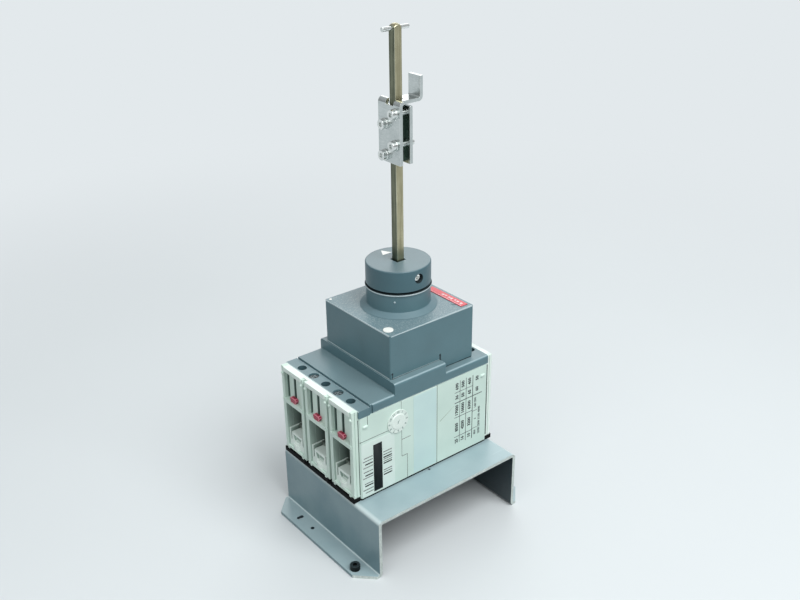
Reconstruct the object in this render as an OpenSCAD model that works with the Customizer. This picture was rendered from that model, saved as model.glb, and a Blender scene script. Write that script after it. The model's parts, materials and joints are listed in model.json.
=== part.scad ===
// Three-pole moulded case circuit breaker on a bent sheet bracket, with a rotary
// mechanism, its square operating shaft and a clamped hook plate.
// Millimetres, +Z up, origin on the ground at the middle of the bracket.
// X runs from the line terminals (-X) to the load terminals (+X).

/* [Case] */
// Length of the case between its two terminal ends
case_l = 130; // [120:1:150]
// Distance between the middles of neighbouring poles
pole_pitch = 30; // [28:0.5:35]
// Height of the cream case up to the underside of the dark covers
case_h = 64.6; // [60:0.2:80]
// Thickness of the moulded frames that close both terminal ends
frame_t = 5; // [4:0.5:8]
// Width of the slot between neighbouring pole frames
pole_slot = 2.6; // [1.5:0.1:4]
// Depth of the slot between the poles behind the frames
pole_slot_depth = 6; // [2:0.5:10]
// Gap of the parting lines between the case mouldings
seam = 0.3; // [0.2:0.05:0.6]
// Distance from the middle of the case to the seam on the line side
line_seam_x = 22.8; // [18:0.2:30]
// Sideways jog of that seam
seam_jog = 5; // [2:0.5:8]
// Height of the jog above the underside of the case
seam_jog_h = 18.5; // [10:0.5:40]
// Distance from the middle of the case to the seam on the load side
load_seam_x = 10; // [4:0.5:20]

/* [Terminals] */
// Width of the opening of one terminal pocket
pocket_w = 20.4; // [16:0.2:23]
// Top of the pocket opening above the underside of the case
pocket_top = 41; // [34:0.5:44]
// Depth of the pocket from the outer face of its frame
pocket_depth = 22; // [16:0.5:26]
// Height of the rail under the pocket opening
sill_h = 3; // [2:0.1:4]
// Height of the shelf over the pocket opening
shelf_h = 3; // [2:0.2:5]
// How far the shelf and the sill stand out of the frame
shelf_out = 0.8; // [0:0.1:2]
// Depth of the recess with the vent slots
recess = 2.5; // [1.5:0.1:3]
// Width of one vent slot
vent_w = 3; // [1.5:0.1:4]
// Distance between neighbouring vent slots
vent_pitch = 9; // [7:0.25:9.5]
// Depth of the vent slots behind the frames
vent_depth = 13; // [2:0.5:16]
// Width of the tower of the insulating block in each pocket
block_w = 14; // [10:0.5:16]
// Height of the insulating block above the sill
block_h = 12.5; // [10:0.5:18]
// Width of the terminal tongue
tongue_w = 14; // [10:0.5:16]
// Thickness of the terminal tongue
tongue_t = 3; // [2:0.25:4]

/* [Covers] */
// Height of the side skirt of the front cover
cover_h = 7.4; // [5:0.2:12]
// Length of the terminal cover strip along the case
strip_l = 10; // [9:0.2:16]
// How much lower the terminal cover lies than the front cover
strip_drop = 1.4; // [0:0.1:3]
// Radius of the terminal access holes
access_r = 3.4; // [2.6:0.1:3.6]
// Radius of the cover screw heads
cover_screw_r = 3.6; // [2:0.1:3.7]
// Rounding of the long top edges of the front cover
cover_r = 2; // [0.5:0.1:4]
// Length of the raised nose of the front cover
nose_l = 46.8; // [40:0.2:60]
// Height of the nose above the front cover
nose_h = 8.2; // [4:0.2:12]
// Distance from the middle of the case to the middle of the nose, towards the line end
nose_x = 5; // [0:0.2:10]

/* [Rotary mechanism] */
// Side of the square mechanism box
box_w = 77; // [66:1:84]
// Height of the box above the nose
box_h = 34; // [20:1:60]
// Distance from the middle of the case to the shaft axis, towards the load end
shaft_x = 11.4; // [4:0.2:14]
// Radius of the fixed collar
collar_r = 23.4; // [18:0.1:30]
// Height of the fixed collar
collar_h = 16.8; // [10:0.2:30]
// How far the rim at the top of the collar stands out
rim_out = 0.9; // [0:0.1:2]
// Radius of the turning knob
knob_r = 23.7; // [18:0.1:32]
// Height of the knob
knob_h = 15.7; // [11:0.1:25]
// Running gap between the knob and the collar
knob_gap = 1.7; // [0.5:0.1:3]
// Radius of the knob's bearing spigot
spigot_r = 10; // [7:0.5:14]
// Running clearance of the spigot in the collar
spigot_clear = 0.3; // [0.2:0.05:0.5]
// Radius of the set screw hole in the side of the knob
set_hole_r = 3.6; // [2.2:0.1:4]

/* [Operating shaft] */
// Side of the square shaft
shaft_s = 6; // [5:0.5:10]
// Height of the shaft above the knob
shaft_above = 165; // [120:1:400]
// Radius of the cross pin
pin_r = 1.5; // [1:0.1:2]
// Length of the cross pin
pin_l = 22; // [14:0.5:30]
// Distance of the cross pin below the top of the shaft
pin_down = 3.2; // [2.5:0.1:6]

/* [Clamp] */
// Height of the lower edge of the clamp plates above the knob
clamp_up = 72.5; // [10:0.5:74]
// Width of the clamp plates
clamp_w = 25; // [22:0.5:32]
// Height of the rear clamp plate
clamp_h = 39.5; // [38:0.5:48]
// How far the front plate reaches over the rear plate
clamp_over = 4; // [3.5:0.1:8]
// Thickness of the clamp plates
plate_t = 2.5; // [1.5:0.1:3]
// Width of the tongue that reaches over to the hook
hook_w = 12.2; // [10:0.1:16]
// Distance from the shaft axis to the outer face of the hook
hook_reach = 16; // [12:0.5:24]
// Height of the upright hook
hook_h = 14.4; // [8:0.2:24]
// Shank radius of the clamp screws
screw_r = 2; // [1.5:0.1:2.2]
// Head radius of the clamp screws
screw_head_r = 3.5; // [2.8:0.1:3.6]
// Head height of the clamp screws
screw_head_h = 3; // [2:0.25:6]
// Distance between the two rows of clamp screws
screw_row = 21.5; // [18:0.5:24]
// Height difference within one row of clamp screws
screw_stagger = 8.5; // [0:0.5:9]

/* [Bracket] */
// Height of the bracket
bracket_h = 48; // [40:1:80]
// Thickness of the bracket sheet
sheet_t = 2.5; // [1.5:0.1:4]
// Inside radius of the bends
bend_r = 1; // [0.5:0.1:4]
// How far each leg stands outside the end of the case
leg_out = 0.5; // [0:0.5:10]
// How far the bracket reaches past the case on the label side
label_reach = 27; // [10:1:40]
// How far the bracket reaches past the case on the other side
back_reach = 1; // [0:0.5:20]
// Width of each foot outside its leg
foot_w = 15; // [12:0.5:30]
// Corner cut at the ends of each foot
foot_cut = 12.5; // [4:0.5:14]
// Radius of the foot screw holes
foot_hole_r = 2.7; // [2:0.1:3.5]
// Distance of the foot screws from the label edge of the bracket
foot_screw_in = 16.7; // [16:0.1:26]
// How far the foot screws lie outside the middle of the feet
foot_screw_out = 1.9; // [0:0.1:2.5]
// Radius of the small round holes in the feet
pilot_r = 1.5; // [1:0.1:2.5]
// Distance of the round holes from the label edge of the bracket
pilot_in = 73.4; // [60:0.2:78]
// Length of the slots in the feet
slot_l = 5.6; // [4.5:0.1:7]
// Distance of the slots from the label edge of the bracket
slot_in = 90; // [82:0.5:100]
// Thickness of the black base pad
pad_t = 3.7; // [2:0.1:8]
// How far the pad shows at the terminal ends
pad_out = 1.2; // [0:0.1:3]
// Height of the blocks of the pad that reach up under the pole frames
pad_step = 1.5; // [0.5:0.1:2]

/* [Hidden] */
$fn = 48;
eps = 0.01;
poles = 3;
sides = [-1, 1];
case_w = poles * pole_pitch;
case_y = (label_reach - back_reach) / 2;
bracket_d = case_w + label_reach + back_reach;
bracket_w = case_l + 2 * leg_out;
case_z = bracket_h + pad_t;
cover_z = case_z + case_h;
front_z = cover_z + cover_h;
lip_z = front_z - strip_drop;
nose_z = front_z + nose_h;
box_z = nose_z + box_h;
collar_z = box_z + collar_h;
knob_z = collar_z + knob_gap;
knob_top = knob_z + knob_h;
shaft_top = knob_top + shaft_above;
pin_z = shaft_top - pin_down;
spigot_h = collar_h - 4;
clamp_z = knob_top + clamp_up;
front_plate_h = clamp_h + clamp_over;
screw_y = shaft_s / 2 + screw_r + 0.4;
clamp_ys = [1.8 - clamp_w / 2, clamp_w / 2];
screw_low = clamp_z + (clamp_h - screw_row - screw_stagger) / 2;
inner_end = case_l / 2 - frame_t;
frame_w = pole_pitch - pole_slot;
lip_h = 3.6;
frame_h = lip_z - case_z - lip_h;
lip_notch_w = 6;
lip_notch_d = 2.2;
wall_y = pocket_w / 2 + 0.6;
step_w = 17;
seat_r = cover_screw_r + 0.3;
seat_depth = 3.6;
strip_x = -inner_end + strip_l / 2;
nose_lo = -nose_x - nose_l / 2;
nose_hi = -nose_x + nose_l / 2;
access_x = inner_end - access_r - 1.1;
foot_x = bracket_w / 2 + foot_w / 2;
foot_screw_x = foot_x + foot_screw_out;
label_y = -bracket_d / 2;
set_z = knob_z + knob_h * 0.55;
set_depth = 2.2;
set_screw_l = 4;
skirt_h = 1.9;
skirt_t = 2.5;
pole_ys = [for (i = [0:poles - 1]) (i - (poles - 1) / 2) * pole_pitch];
gap_ys = [for (i = [1:poles - 1]) (i - poles / 2) * pole_pitch];

// Things on the case stand over its own middle, which lies behind the middle of the bracket.
module on_case() {
    translate([0, case_y, 0]) children();
}

module on_shaft() {
    translate([shaft_x, case_y, 0]) children();
}

// Shapes drawn for the line end at -X; the load end is their mirror image.
module at_end(line) {
    on_case() mirror([line ? 0 : 1, 0, 0]) children();
}

module block(x, y, z) {
    translate([x[0], y[0], z[0]]) cube([x[1] - x[0], y[1] - y[0], z[1] - z[0]]);
}

module along_x(x0, x1) {
    translate([x0, 0, 0]) rotate([90, 0, 90]) linear_extrude(x1 - x0) children();
}

module along_y(y0, y1) {
    translate([0, y1, 0]) rotate([90, 0, 0]) linear_extrude(y1 - y0) children();
}

module rounded_rect(w, d, r) {
    square([w - 2 * r, d], center = true);
    square([w, d - 2 * r], center = true);
    for (sx = sides, sy = sides)
        translate([sx * (w / 2 - r), sy * (d / 2 - r)]) circle(r);
}

// One bend of the sheet: a quarter ring in the first quadrant around its centre.
module bend(r_in, t) {
    intersection() {
        difference() {
            circle(r_in + t);
            circle(r_in);
        }
        square(r_in + t);
    }
}

// Right half of the top-hat section of the bracket, in X and Z.
module bracket_half() {
    r_out = bend_r + sheet_t;
    translate([-eps, bracket_h - sheet_t]) square([bracket_w / 2 - r_out + eps, sheet_t]);
    translate([bracket_w / 2 - r_out, bracket_h - r_out]) bend(bend_r, sheet_t);
    translate([bracket_w / 2 - sheet_t, r_out]) square([sheet_t, bracket_h - 2 * r_out]);
    translate([bracket_w / 2 + bend_r, r_out]) rotate(180) bend(bend_r, sheet_t);
    translate([bracket_w / 2 + bend_r, 0]) square([foot_w - bend_r, sheet_t]);
}

module foot_holes(side) {
    translate([side * foot_screw_x, label_y + foot_screw_in, -1]) cylinder(r = foot_hole_r, h = sheet_t + 2);
    translate([side * foot_x, label_y + pilot_in, -1]) cylinder(r = pilot_r, h = sheet_t + 2);
    translate([side * foot_x, label_y + slot_in, -1]) {
        for (s = sides) translate([s * (slot_l / 2 - pilot_r), 0, 0]) cylinder(r = pilot_r, h = sheet_t + 2);
        block([pilot_r - slot_l / 2, slot_l / 2 - pilot_r], [-pilot_r, pilot_r], [0, sheet_t + 2]);
    }
}

// Bent sheet with two feet whose ends are cut at 45 degrees, and a pilot hole near its label edge.
module mounting_bracket() {
    top_hole = [1.9, 26.3];
    top_hole_r = 1;
    color("lightslategray") difference() {
        along_y(-bracket_d / 2, bracket_d / 2) for (m = [0, 1]) mirror([m, 0]) bracket_half();
        for (sx = sides, sy = sides)
            translate([sx * (bracket_w / 2 + foot_w), sy * bracket_d / 2, -1])
                rotate(45) cube([foot_cut * sqrt(2), foot_cut * sqrt(2), 2 * sheet_t + 3], center = true);
        for (s = sides) foot_holes(s);
        translate([top_hole[0], label_y + top_hole[1], bracket_h - sheet_t - 1])
            cylinder(r = top_hole_r, h = sheet_t + 2);
    }
}

// Black socket-head screws, one in each foot at the label side.
module foot_screws() {
    head_r = foot_hole_r + 1;
    head_h = 3.8;
    color("#16181a") for (s = sides)
        translate([s * foot_screw_x, label_y + foot_screw_in, 0]) difference() {
            union() {
                cylinder(r = foot_hole_r - 0.2, h = sheet_t);
                translate([0, 0, sheet_t]) cylinder(r = head_r, h = head_h);
            }
            translate([0, 0, sheet_t + head_h - 2]) cylinder(r = head_r * 0.5, h = 3, $fn = 6);
        }
}

// Black moulded pad that spaces the case from the bracket, with a step up into each pole frame.
module base_pad() {
    pad_x = case_l / 2 + pad_out;
    notch_d = pad_out + 3;
    pad_in = skirt_t + 1.1;
    color("#15191a") on_case() {
        difference() {
            union() {
                block([-pad_x, pad_x], [pad_in - case_w / 2, case_w / 2 - pad_in], [bracket_h, case_z]);
                for (m = [0, 1]) mirror([m, 0, 0])
                    block([inner_end, pad_x], [1 - case_w / 2, case_w / 2 - 1], [bracket_h, case_z]);
            }
            for (sx = sides, y = gap_ys)
                translate([sx * (pad_x - notch_d / 2 + eps), y, case_z - 0.9])
                    cube([notch_d, 2 * pole_slot, 2], center = true);
        }
        for (m = [0, 1], y = pole_ys)
            mirror([m, 0, 0])
                block([inner_end + 0.1, case_l / 2 - 0.6], [y - step_w / 2 + 0.1, y + step_w / 2 - 0.1],
                    [case_z - eps, case_z + pad_step]);
    }
}

// Outline of the line section seen from the label side, with the jog in its seam.
module line_section_outline() {
    lo = -inner_end + seam;
    polygon([[lo, case_z], [seam_jog - line_seam_x - seam, case_z],
        [seam_jog - line_seam_x - seam, case_z + seam_jog_h], [-line_seam_x - seam, case_z + seam_jog_h],
        [-line_seam_x - seam, cover_z], [lo, cover_z]]);
}

module middle_section_outline() {
    polygon([[seam_jog - line_seam_x, case_z], [load_seam_x, case_z], [load_seam_x, cover_z],
        [-line_seam_x, cover_z], [-line_seam_x, case_z + seam_jog_h + seam],
        [seam_jog - line_seam_x, case_z + seam_jog_h + seam]]);
}

// Skirts along both long sides, which hide the pad under the case.
module skirts(x0, x1) {
    for (m = [0, 1]) mirror([0, m, 0])
        block([x0, x1], [-case_w / 2, skirt_t - case_w / 2], [case_z - skirt_h, case_z + eps]);
}

// Pockets, vent wells, slots between the poles and access wells behind the frames.
module end_hollows() {
    mouth = -case_l / 2;
    for (y = pole_ys) {
        block([mouth, mouth + pocket_depth], [y - pocket_w / 2, y + pocket_w / 2],
            [case_z + sill_h, case_z + pocket_top]);
        for (v = [y - vent_pitch, y, y + vent_pitch])
            block([mouth, mouth + frame_t + vent_depth], [v - vent_w / 2, v + vent_w / 2],
                [case_z + pocket_top + shelf_h, cover_z + 1]);
        translate([-access_x, y, case_z + pocket_top - 1]) cylinder(r = access_r, h = case_h);
    }
    for (y = gap_ys)
        block([mouth, mouth + frame_t + pole_slot_depth], [y - pole_slot / 2, y + pole_slot / 2],
            [case_z - 1, cover_z + 1]);
    for (s = sides)
        translate([-inner_end + seam, s * case_w / 2, case_z + case_h / 2])
            rotate(45) cube([1.4, 1.4, case_h + 6], center = true);
}

module case_line_section() {
    groove_z = cover_z - 19.4;
    groove = 0.4;
    tick_x = -inner_end + 7.1;
    color("#cfe0d6") on_case() difference() {
        union() {
            along_y(-case_w / 2, case_w / 2) line_section_outline();
            skirts(-inner_end + seam, seam_jog - line_seam_x - seam);
        }
        end_hollows();
        block([tick_x, tick_x + groove], [-case_w / 2 - 1, groove - case_w / 2],
            [cover_z - 6.8, cover_z + 1]);
        block([-inner_end - 1, -line_seam_x - 12], [-case_w / 2 - 1, groove - case_w / 2],
            [groove_z, groove_z + groove]);
    }
}

module case_middle_section() {
    line_z = case_z + 32.6;
    line_l = 8;
    color("#cfdfe0") on_case() difference() {
        union() {
            along_y(-case_w / 2, case_w / 2) middle_section_outline();
            skirts(seam_jog - line_seam_x, load_seam_x);
        }
        block([-line_seam_x - 1, line_l - line_seam_x], [-case_w / 2 - 1, seam - case_w / 2],
            [line_z, line_z + seam]);
    }
}

module case_load_section() {
    color("#cfe0d6") on_case() difference() {
        union() {
            block([load_seam_x + seam, inner_end - seam], [-case_w / 2, case_w / 2], [case_z, cover_z]);
            skirts(load_seam_x + seam, inner_end - seam);
        }
        mirror([1, 0, 0]) end_hollows();
    }
}

// Top of one side wall of a pole frame: an ear in the notch of the lip, or a full outer wall.
module frame_ear(s, outer) {
    front = -case_l / 2;
    inner = s == outer ? wall_y : frame_w / 2 - (lip_notch_w - pole_slot) / 2;
    ear_d = s == outer ? frame_t : lip_notch_d;
    ear_z = s == outer ? lip_z : lip_z - 0.8;
    block([front, front + ear_d], s < 0 ? [-frame_w / 2, -inner] : [inner, frame_w / 2],
        [lip_z - lip_h - eps, ear_z]);
}

// End frame of one pole: side walls, recessed vent panel, shelf, pocket opening and stepped sill.
// outer says which of its sides is the outside of the breaker: -1, 0 for neither, or 1.
module pole_frame(outer) {
    front = -case_l / 2;
    top = case_z + frame_h;
    shelf_z = case_z + pocket_top;
    nub_r = 1.3;
    difference() {
        union() {
            block([front, -inner_end], [-frame_w / 2, frame_w / 2], [case_z, top]);
            block([front - shelf_out, front + eps], [1 - frame_w / 2, frame_w / 2 - 1],
                [shelf_z, shelf_z + shelf_h]);
            block([front - shelf_out, front + eps], [-pocket_w / 2, pocket_w / 2], [case_z, case_z + sill_h]);
            for (s = sides) frame_ear(s, outer);
            for (s = sides) translate([front, s * (frame_w / 2 - nub_r), top - nub_r - 0.9]) sphere(nub_r);
        }
        block([front - 2, 1 - inner_end], [-pocket_w / 2, pocket_w / 2], [case_z + sill_h, shelf_z]);
        block([front - 2, front + recess], [-wall_y, wall_y], [shelf_z + shelf_h, top + 1]);
        block([front - 2, 1 - inner_end], [-step_w / 2, step_w / 2], [case_z - 1, case_z + pad_step]);
        if (outer != 0) mirror([0, outer < 0 ? 1 : 0, 0])
            block([front + 2.1, front + 2.6], [frame_w / 2 - 0.5, frame_w / 2 + 1], [case_z - 1, lip_z + 1]);
        for (v = [-1:1])
            block([front, 1 - inner_end], [v * vent_pitch - vent_w / 2, v * vent_pitch + vent_w / 2],
                [shelf_z + shelf_h, top + 1]);
    }
}

module place_frame(line, pole) {
    color("#d3e3da") at_end(line) translate([0, pole_ys[pole], 0]) pole_frame(pole - 1);
}

module line_frame_left() { place_frame(true, 2); }
module line_frame_centre() { place_frame(true, 1); }
module line_frame_right() { place_frame(true, 0); }
module load_frame_left() { place_frame(false, 0); }
module load_frame_centre() { place_frame(false, 1); }
module load_frame_right() { place_frame(false, 2); }

// White rail over the three frames, between their outer walls, notched between the poles.
module end_lip() {
    front = -case_l / 2;
    end_y = pole_pitch + wall_y;
    difference() {
        block([front - 0.6, -inner_end], [-end_y, end_y], [lip_z - lip_h, lip_z]);
        for (y = gap_ys)
            block([front - 1, front + lip_notch_d], [y - lip_notch_w / 2, y + lip_notch_w / 2],
                [lip_z - lip_h - 1, lip_z + 1]);
    }
}

module line_lip() {
    color("#eef5f0") at_end(true) end_lip();
}

module load_lip() {
    color("#eef5f0") at_end(false) end_lip();
}

// Small red marks with clipped corners that stand on the shelves over the pockets.
module pole_markers() {
    front = -case_l / 2;
    half = 4.2;
    marker_h = 4.4;
    clip = 1.4;
    for (y = pole_ys)
        translate([0, y, case_z + pocket_top + shelf_h])
            along_x(front - 0.5, front + recess)
                polygon([[clip - half, 0], [half - clip, 0], [half, marker_h - clip], [half - clip, marker_h],
                    [clip - half, marker_h], [-half, marker_h - clip]]);
}

module line_pole_markers() {
    color("#c83c48") at_end(true) pole_markers();
}

module load_pole_markers() {
    color("#c83c48") at_end(false) pole_markers();
}

// Stepped insulating block on the floor of each pocket: a tower with a recess in its front,
// a round boss at its foot and a thin cheek along each wall of the pocket.
module terminal_blocks() {
    front = -case_l / 2;
    base = case_z + sill_h;
    half = block_w / 2;
    foot = pocket_w / 2 - 0.2;
    block_d = 12;
    foot_step = 3.5;
    shoulder = 5.5;
    recess_d = 2.2;
    cheek_t = 1.6;
    cheek_h = block_h + 2.4;
    boss_r = half - 2.5;
    for (y = pole_ys) translate([0, y, base]) {
        difference() {
            along_x(front + 1.2, front + block_d)
                polygon([[-foot, 0], [foot, 0], [foot, foot_step], [half, shoulder], [half, block_h],
                    [-half, block_h], [-half, shoulder], [-foot, foot_step]]);
            along_x(front, front + 1.2 + recess_d)
                polygon([[-half / 2, shoulder], [half / 2, shoulder], [half - 1.4, block_h - 2],
                    [1.4 - half, block_h - 2]]);
        }
        for (s = sides)
            block([front + 1.2, front + block_d], s < 0 ? [-foot, cheek_t - foot] : [foot - cheek_t, foot],
                [0, cheek_h]);
        translate([front + boss_r - 0.9, 0, 0]) cylinder(r = boss_r, h = foot_step + 0.7);
    }
}

module line_terminal_blocks() {
    color("#d8e6dc") at_end(true) terminal_blocks();
}

module load_terminal_blocks() {
    color("#d8e6dc") at_end(false) terminal_blocks();
}

// Tinned tongues at the back of the pockets, each with the hole of its cable screw.
module terminal_tongues() {
    front = -case_l / 2;
    z = case_z + sill_h + block_h + tongue_t + 1;
    tongue_in = 8;
    for (y = pole_ys) difference() {
        block([front + tongue_in, front + pocket_depth], [y - tongue_w / 2, y + tongue_w / 2],
            [z - tongue_t, z]);
        translate([-access_x, y, z - tongue_t - 1]) cylinder(r = access_r, h = tongue_t + 2);
    }
}

module line_terminal_tongues() {
    color("#b9b7a8") at_end(true) terminal_tongues();
}

module load_terminal_tongues() {
    color("#b9b7a8") at_end(false) terminal_tongues();
}

// Dark strip over the line terminals: three access holes and two countersunk screw seats.
module line_terminal_cover() {
    color("#566a70") on_case() difference() {
        block([-inner_end, -inner_end + strip_l], [-case_w / 2, case_w / 2], [cover_z, lip_z]);
        for (y = pole_ys) translate([-access_x, y, cover_z - 1]) cylinder(r = access_r, h = cover_h + 2);
        for (y = gap_ys) translate([-access_x, y, lip_z - seat_depth])
            cylinder(r = seat_r, h = seat_depth + 1);
    }
}

// Countersunk screws, a little below the face of the strip, each with a cross recess.
module cover_screws() {
    head_h = seat_depth - 1;
    arm_w = 1;
    arm_l = 4.4;
    color("#7f8a8b") on_case() for (y = gap_ys)
        translate([-access_x, y, lip_z - seat_depth]) difference() {
            cylinder(r = cover_screw_r, h = head_h);
            for (a = [30, 120]) rotate(a) translate([0, 0, head_h]) cube([arm_w, arm_l, 2.4], center = true);
        }
}

// Cross-section of the front cover with rounded long edges, in Y and Z.
module cover_section(top) {
    half = case_w / 2;
    translate([-half, cover_z]) square([case_w, top - cover_z - cover_r]);
    translate([-half + cover_r, cover_z]) square([case_w - 2 * cover_r, top - cover_z]);
    for (s = sides) translate([s * (half - cover_r), top - cover_r]) circle(cover_r);
}

// Front cover with the raised nose that carries the rotary mechanism, and a small recess in each
// side next to the terminal strip.
module front_cover() {
    cover_lo = -inner_end + strip_l + seam;
    recess_l = 1.9;
    recess_d = 0.9;
    color("#5f7378") on_case() difference() {
        union() {
            along_x(cover_lo, inner_end) cover_section(front_z);
            along_x(nose_lo, nose_hi) cover_section(nose_z);
        }
        for (y = pole_ys) translate([access_x, y, cover_z - 1]) cylinder(r = access_r, h = cover_h + 2);
        for (m = [0, 1]) mirror([0, m, 0])
            block([cover_lo - 1, cover_lo + recess_l], [-case_w / 2 - 1, recess_d - case_w / 2],
                [cover_z - 1, front_z + 1]);
    }
}

// Thin disc with the date ring on the label side.
module date_disc() {
    disc_r = 9.2;
    disc_t = 0.8;
    color("#e6f0e8") on_case()
        translate([-line_seam_x - 3.8, -case_w / 2, cover_z - 14.7])
            rotate([90, 0, 0]) cylinder(r = disc_r, h = disc_t);
}

// Box of the rotary mechanism: it stands on the nose and steps down behind it. Small notches for
// its latches sit in the lower edges of both long sides, and a short slot in its top.
module mechanism_box() {
    half = box_w / 2;
    edge_r = 1.2;
    latch_w = 1.4;
    latch_h = 4;
    slot_at = [28, -29];
    color("#63777c") on_case() difference() {
        union() {
            translate([shaft_x, 0, nose_z]) linear_extrude(box_h) rounded_rect(box_w, box_w, edge_r);
            intersection() {
                translate([shaft_x, 0, front_z])
                    linear_extrude(nose_h + 1) rounded_rect(box_w, box_w, edge_r);
                block([nose_hi, shaft_x + half + 1], [-half - 1, half + 1], [front_z, nose_z + 1]);
            }
        }
        for (s = sides, latch = [[shaft_x - half, nose_z], [nose_hi, nose_z], [shaft_x + half, front_z]])
            translate([latch[0] - latch_w / 2, s * half - latch_w / 2, latch[1] - 1])
                cube([latch_w, latch_w, latch_h + 1]);
        translate([shaft_x + slot_at[0], slot_at[1], box_z]) rotate(-40) cube([3.4, 0.9, 2], center = true);
    }
}

// Flat red bar along the load edge of the box.
module red_label_bar() {
    color("#c8323c") on_case()
        block([shaft_x + box_w / 2 - 9, shaft_x + box_w / 2 - 2.5], [3.5 - box_w / 2, 4],
            [box_z, box_z + 0.5]);
}

// White sealing caps in the two corners of the box that face the line end.
module corner_caps() {
    cap_r = 3.7;
    small_r = 1.1;
    cap_in = [5.2, 8.4];
    color("#f2f4f0") on_case() {
        translate([shaft_x - box_w / 2 + cap_in[0], cap_in[1] - box_w / 2, box_z])
            cylinder(r = cap_r, h = 0.7);
        translate([shaft_x - box_w / 2 + 3, box_w / 2 - 3, box_z]) cylinder(r = small_r, h = 0.5);
    }
}

// Fixed collar with the bearing bore of the knob, a low cone round its foot and a thin rim.
module collar() {
    rim_h = 1.2;
    mound_out = 5;
    mound_h = 2.8;
    color("#5b7072") on_shaft() difference() {
        union() {
            translate([0, 0, box_z]) cylinder(r = collar_r, h = collar_h);
            translate([0, 0, box_z]) cylinder(r1 = collar_r + mound_out, r2 = collar_r, h = mound_h);
            translate([0, 0, collar_z - rim_h]) cylinder(r = collar_r + rim_out, h = rim_h);
        }
        translate([0, 0, box_z - 1]) cylinder(r = spigot_r + spigot_clear, h = collar_h + 2);
    }
}

// Knob section, turned about the shaft: head with a rounded top edge, and spigot.
module knob_section() {
    edge = 1;
    translate([0, knob_z]) square([knob_r, knob_h - edge]);
    translate([0, knob_z]) square([knob_r - edge, knob_h]);
    translate([knob_r - edge, knob_top - edge]) circle(edge);
    translate([0, knob_z - knob_gap - spigot_h]) square([spigot_r, spigot_h + knob_gap + eps]);
}

// Knob with its square socket, a shallow recess round the shaft and the set screw's hole.
module knob() {
    socket_w = shaft_s + 2.4;
    socket_d = 1.5;
    color("#5d7377") on_shaft() difference() {
        rotate_extrude() intersection() {
            knob_section();
            square([knob_r, knob_top]);
        }
        block([-shaft_s / 2, shaft_s / 2], [-shaft_s / 2, shaft_s / 2],
            [knob_z - spigot_h + 2, knob_top + 1]);
        translate([0, 0, knob_top]) cube([socket_w, socket_w, 2 * socket_d], center = true);
        translate([0, -knob_r - 1, set_z]) rotate([-90, 0, 0])
            cylinder(r = set_hole_r, h = set_depth + set_screw_l + 1);
    }
}

module set_screw() {
    color("#c4c8c2") on_shaft() translate([0, set_depth - knob_r, set_z]) rotate([-90, 0, 0]) difference() {
        cylinder(r = set_hole_r - 1.1, h = set_screw_l);
        translate([0, 0, -1]) cylinder(r = set_hole_r * 0.4, h = 3, $fn = 6);
    }
}

// Square shaft with a domed top, cross-drilled for the pin.
module operating_shaft() {
    dome_r = shaft_s * 0.8;
    foot_z = knob_z - spigot_h + 2;
    color("#8b937c") on_shaft() difference() {
        intersection() {
            block([-shaft_s / 2, shaft_s / 2], [-shaft_s / 2, shaft_s / 2], [foot_z, shaft_top]);
            union() {
                translate([0, 0, foot_z]) cylinder(r = dome_r, h = shaft_top - dome_r - foot_z);
                translate([0, 0, shaft_top - dome_r]) sphere(dome_r);
            }
        }
        translate([-shaft_s, 0, pin_z]) rotate([0, 90, 0]) cylinder(r = pin_r, h = 2 * shaft_s);
    }
}

module cross_pin() {
    color("#c9ccc4") on_shaft() translate([-pin_l / 2, 0, pin_z])
        rotate([0, 90, 0]) cylinder(r = pin_r, h = pin_l);
}

// Places of the four clamp screws as [y, z]; the two rows are staggered.
screw_places = [for (row = [0, 1], s = sides)
    [s * screw_y, screw_low + row * screw_row + (s < 0 ? screw_stagger : 0)]];

module screw_holes(x0, x1) {
    for (p = screw_places) translate([x0, p[0], p[1]])
        rotate([0, 90, 0]) cylinder(r = screw_r + 0.1, h = x1 - x0);
}

// Side outline of the front clamp plate in X and Z: upright, bend, tongue, bend and hook.
module hook_outline() {
    face = -shaft_s / 2 - plate_t;
    top = clamp_z + front_plate_h;
    r_in = 1;
    r_out = r_in + plate_t;
    translate([face, clamp_z]) square([plate_t, front_plate_h - r_out]);
    translate([face + r_out, top - r_out]) rotate(90) bend(r_in, plate_t);
    translate([face + r_out, top - plate_t]) square([hook_reach - r_out - face - r_out, plate_t]);
    translate([hook_reach - r_out, top - plate_t + r_out]) rotate(-90) bend(r_in, plate_t);
    translate([hook_reach - plate_t, top - plate_t + r_out]) square([plate_t, hook_h - r_out + plate_t]);
}

// Front clamp plate: a notch in its top clears the shaft, and the tongue beside the notch is bent
// over, widens behind the shaft and ends in an upright hook.
module clamp_front_plate() {
    face = -shaft_s / 2 - plate_t;
    top = clamp_z + front_plate_h;
    notch_y = [-3.7, 4.6];
    notch_d = 3.6;
    hook_y = -2.6;
    color("#c3cac8") on_shaft() difference() {
        along_y(clamp_ys[0], clamp_ys[1]) hook_outline();
        for (s = sides)
            block([-shaft_s / 2 + 1, hook_reach + 1],
                s < 0 ? [-clamp_w, hook_y - hook_w / 2] : [hook_y + hook_w / 2, clamp_w],
                [top - 8, top + hook_h + 1]);
        block([face - 1, shaft_s / 2 + 0.6], notch_y, [top - notch_d, top + 1]);
        screw_holes(face - 1, -shaft_s / 2 + 1);
    }
}

module clamp_rear_plate() {
    color("#b9c0be") on_shaft() difference() {
        block([shaft_s / 2, shaft_s / 2 + plate_t], clamp_ys, [clamp_z, clamp_z + clamp_h]);
        screw_holes(shaft_s / 2 - 1, shaft_s / 2 + plate_t + 1);
    }
}

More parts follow.
